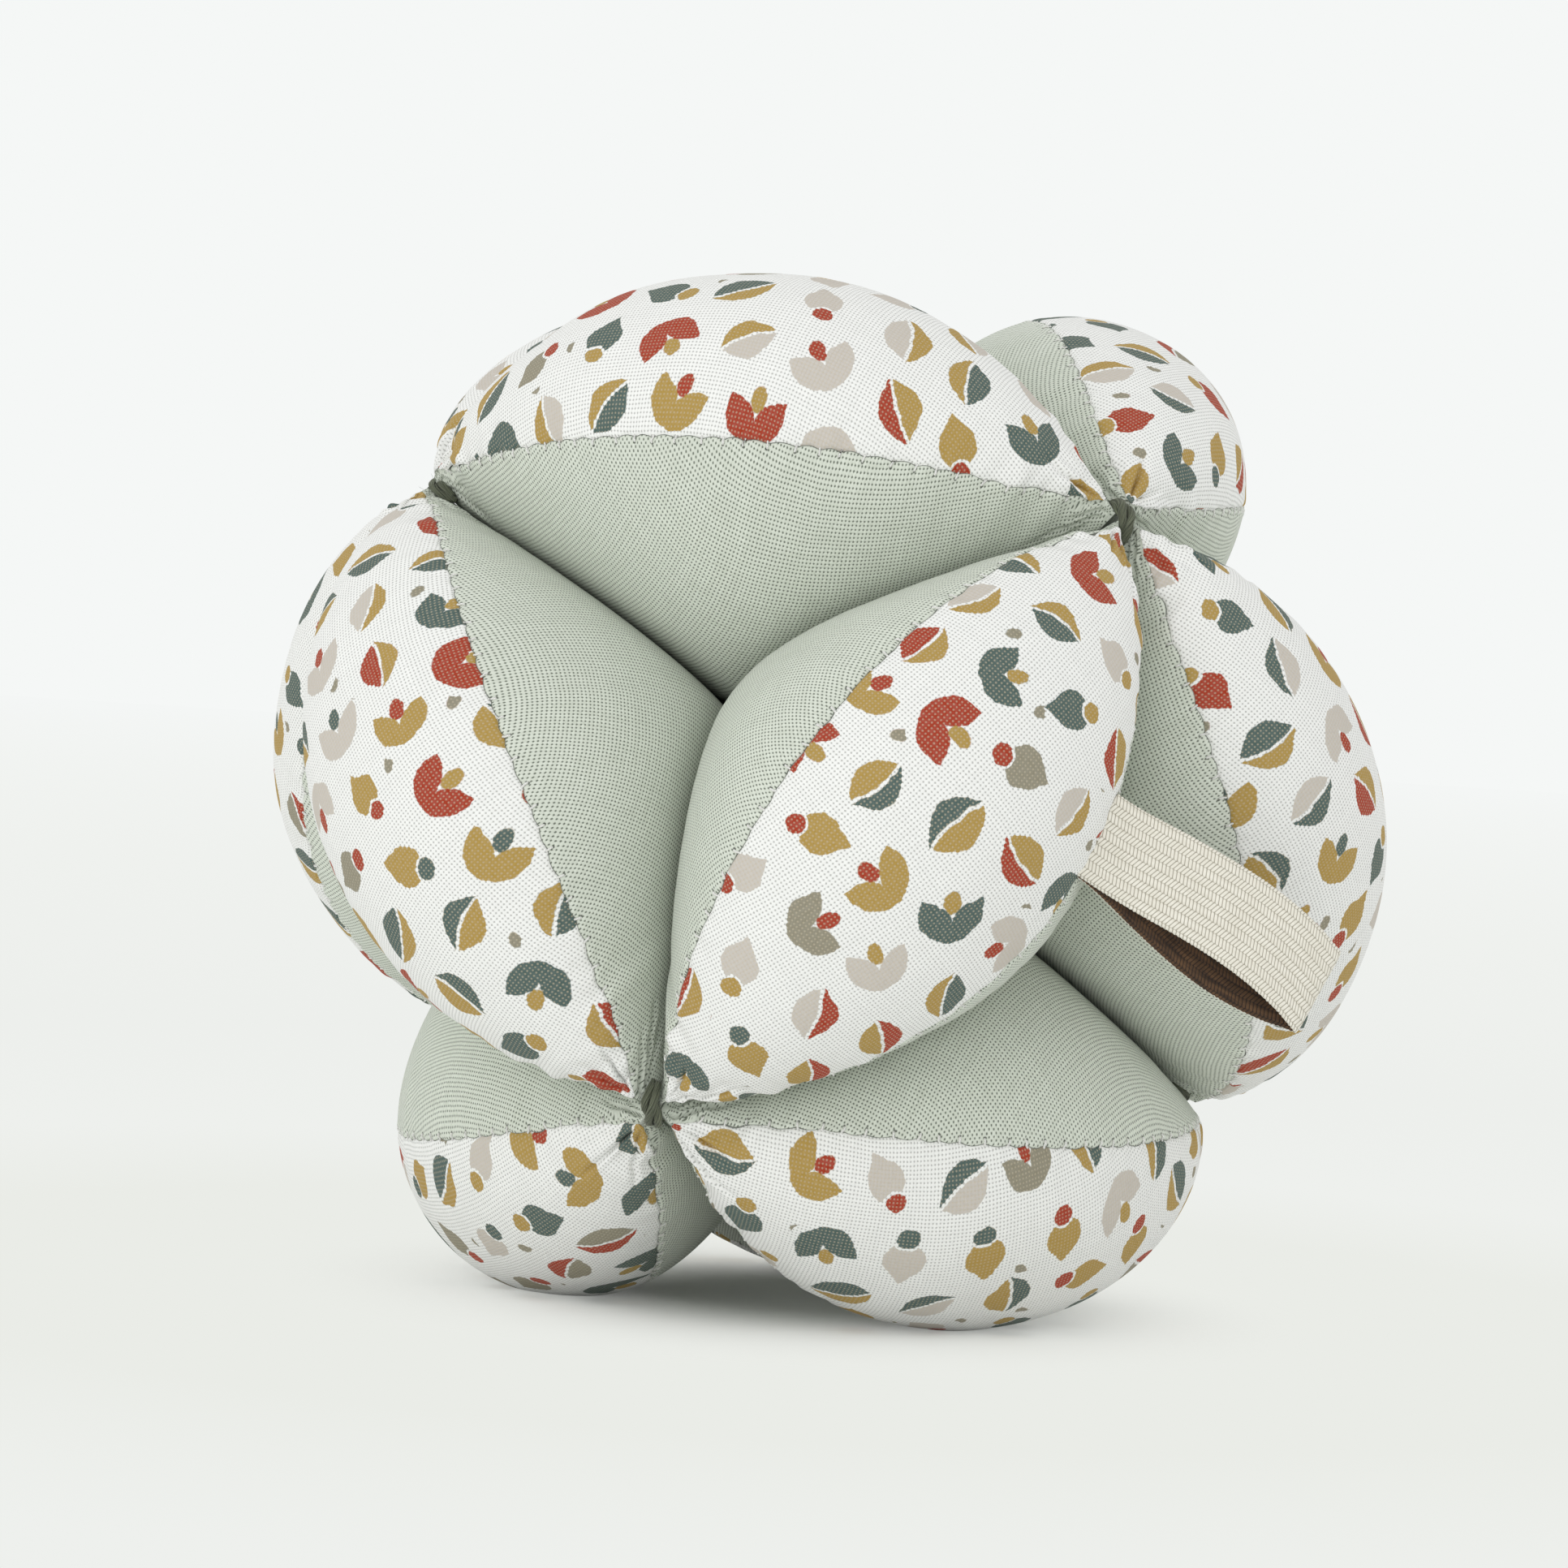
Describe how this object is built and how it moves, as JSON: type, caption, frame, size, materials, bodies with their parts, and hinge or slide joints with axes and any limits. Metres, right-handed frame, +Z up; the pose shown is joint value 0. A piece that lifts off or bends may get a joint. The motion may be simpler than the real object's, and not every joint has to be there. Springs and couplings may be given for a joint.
{
  "type": "grasping ball",
  "caption": "Stuffed fabric baby ball of almond-shaped segments tied at their tips, with deep pits between them for small fingers and a folded ribbon loop.",
  "frame": {"origin": "centre of the ball, midway between opposite knots", "axes": "+Z up through the upper pit, with the ball standing on three segments; -Y is the front, where one pit faces a little upwards; +X is the right, where the ribbon loop points"},
  "size_m": [0.1196, 0.1098, 0.1037],
  "materials": {
    "printed_cotton": "plain-weave off-white cotton with a small scattered print in mustard, slate, rust and grey",
    "sage_cotton": "plain-weave sage green cotton",
    "fibre_filling": "loose white polyester fibre, hidden",
    "olive_floss": "olive grey six-strand cotton floss",
    "ivory_ribbon": "ivory woven ribbon with a dark brown back"
  },
  "bodies": {
    "knots": {"lower_front_knot": "olive_floss", "lower_right_knot": "olive_floss", "lower_left_knot": "olive_floss", "upper_right_knot": "olive_floss", "upper_back_knot": "olive_floss", "upper_left_knot": "olive_floss"},
    "bottom_right": {"bottom_right_print_panel": "printed_cotton", "bottom_right_sage_panel": "sage_cotton", "bottom_right_filling": "fibre_filling"},
    "bottom_back": {"bottom_back_print_panel": "printed_cotton", "bottom_back_sage_panel": "sage_cotton", "bottom_back_filling": "fibre_filling"},
    "bottom_left": {"bottom_left_print_panel": "printed_cotton", "bottom_left_sage_panel": "sage_cotton", "bottom_left_filling": "fibre_filling"},
    "front_right": {"front_right_print_panel": "printed_cotton", "front_right_sage_panel": "sage_cotton", "front_right_filling": "fibre_filling"},
    "right": {"right_print_panel": "printed_cotton", "right_sage_panel": "sage_cotton", "right_filling": "fibre_filling"},
    "back_right": {"back_right_print_panel": "printed_cotton", "back_right_sage_panel": "sage_cotton", "back_right_filling": "fibre_filling"},
    "back_left": {"back_left_print_panel": "printed_cotton", "back_left_sage_panel": "sage_cotton", "back_left_filling": "fibre_filling"},
    "left": {"left_print_panel": "printed_cotton", "left_sage_panel": "sage_cotton", "left_filling": "fibre_filling"},
    "front_left": {"front_left_print_panel": "printed_cotton", "front_left_sage_panel": "sage_cotton", "front_left_filling": "fibre_filling"},
    "top_right": {"top_right_print_panel": "printed_cotton", "top_right_sage_panel": "sage_cotton", "top_right_filling": "fibre_filling"},
    "top_left": {"top_left_print_panel": "printed_cotton", "top_left_sage_panel": "sage_cotton", "top_left_filling": "fibre_filling"},
    "top_front": {"top_front_print_panel": "printed_cotton", "top_front_sage_panel": "sage_cotton", "top_front_filling": "fibre_filling"},
    "label": {"side_label": "ivory_ribbon"}
  },
  "joints": [
    {"name": "bottom_right_rock", "type": "hinge", "parent": "knots", "child": "bottom_right", "pos_m": [0.01817, -0.01049, -0.02968], "axis": [0.5, 0.866, 0], "range_deg": [-5, 5], "stiffness_Nm_per_rad": 0.3},
    {"name": "bottom_back_rock", "type": "hinge", "parent": "knots", "child": "bottom_back", "pos_m": [0, 0.02098, -0.02968], "axis": [-1, 0, 0], "range_deg": [-5, 5], "stiffness_Nm_per_rad": 0.3},
    {"name": "bottom_left_rock", "type": "hinge", "parent": "knots", "child": "bottom_left", "pos_m": [-0.01817, -0.01049, -0.02968], "axis": [0.5, -0.866, 0], "range_deg": [-5, 5], "stiffness_Nm_per_rad": 0.3},
    {"name": "front_right_rock", "type": "hinge", "parent": "knots", "child": "front_right", "pos_m": [0.01817, -0.03148, 0], "axis": [0.5, 0.2887, 0.8165], "range_deg": [-5, 5], "stiffness_Nm_per_rad": 0.3},
    {"name": "right_rock", "type": "hinge", "parent": "knots", "child": "right", "pos_m": [0.03635, 0, 0], "axis": [0, -0.5773, 0.8165], "range_deg": [-5, 5], "stiffness_Nm_per_rad": 0.3},
    {"name": "back_right_rock", "type": "hinge", "parent": "knots", "child": "back_right", "pos_m": [0.01817, 0.03148, 0], "axis": [-0.5, 0.2887, 0.8165], "range_deg": [-5, 5], "stiffness_Nm_per_rad": 0.3},
    {"name": "back_left_rock", "type": "hinge", "parent": "knots", "child": "back_left", "pos_m": [-0.01817, 0.03148, 0], "axis": [0.5, 0.2887, 0.8165], "range_deg": [-5, 5], "stiffness_Nm_per_rad": 0.3},
    {"name": "left_rock", "type": "hinge", "parent": "knots", "child": "left", "pos_m": [-0.03635, 0, 0], "axis": [0, -0.5773, 0.8165], "range_deg": [-5, 5], "stiffness_Nm_per_rad": 0.3},
    {"name": "front_left_rock", "type": "hinge", "parent": "knots", "child": "front_left", "pos_m": [-0.01817, -0.03148, 0], "axis": [-0.5, 0.2887, 0.8165], "range_deg": [-5, 5], "stiffness_Nm_per_rad": 0.3},
    {"name": "top_right_rock", "type": "hinge", "parent": "knots", "child": "top_right", "pos_m": [0.01817, 0.01049, 0.02968], "axis": [-0.5, 0.866, 0], "range_deg": [-5, 5], "stiffness_Nm_per_rad": 0.3},
    {"name": "top_left_rock", "type": "hinge", "parent": "knots", "child": "top_left", "pos_m": [-0.01817, 0.01049, 0.02968], "axis": [-0.5, -0.866, 0], "range_deg": [-5, 5], "stiffness_Nm_per_rad": 0.3},
    {"name": "top_front_rock", "type": "hinge", "parent": "knots", "child": "top_front", "pos_m": [0, -0.02098, 0.02968], "axis": [1, 0, 0], "range_deg": [-5, 5], "stiffness_Nm_per_rad": 0.3},
    {"name": "label_fold", "type": "hinge", "parent": "front_right", "child": "label", "pos_m": [0.03989, -0.03644, -0.00082], "axis": [-0.2854, -0.3706, -0.8839], "range_deg": [-5, 70], "stiffness_Nm_per_rad": 0.002}
  ]
}
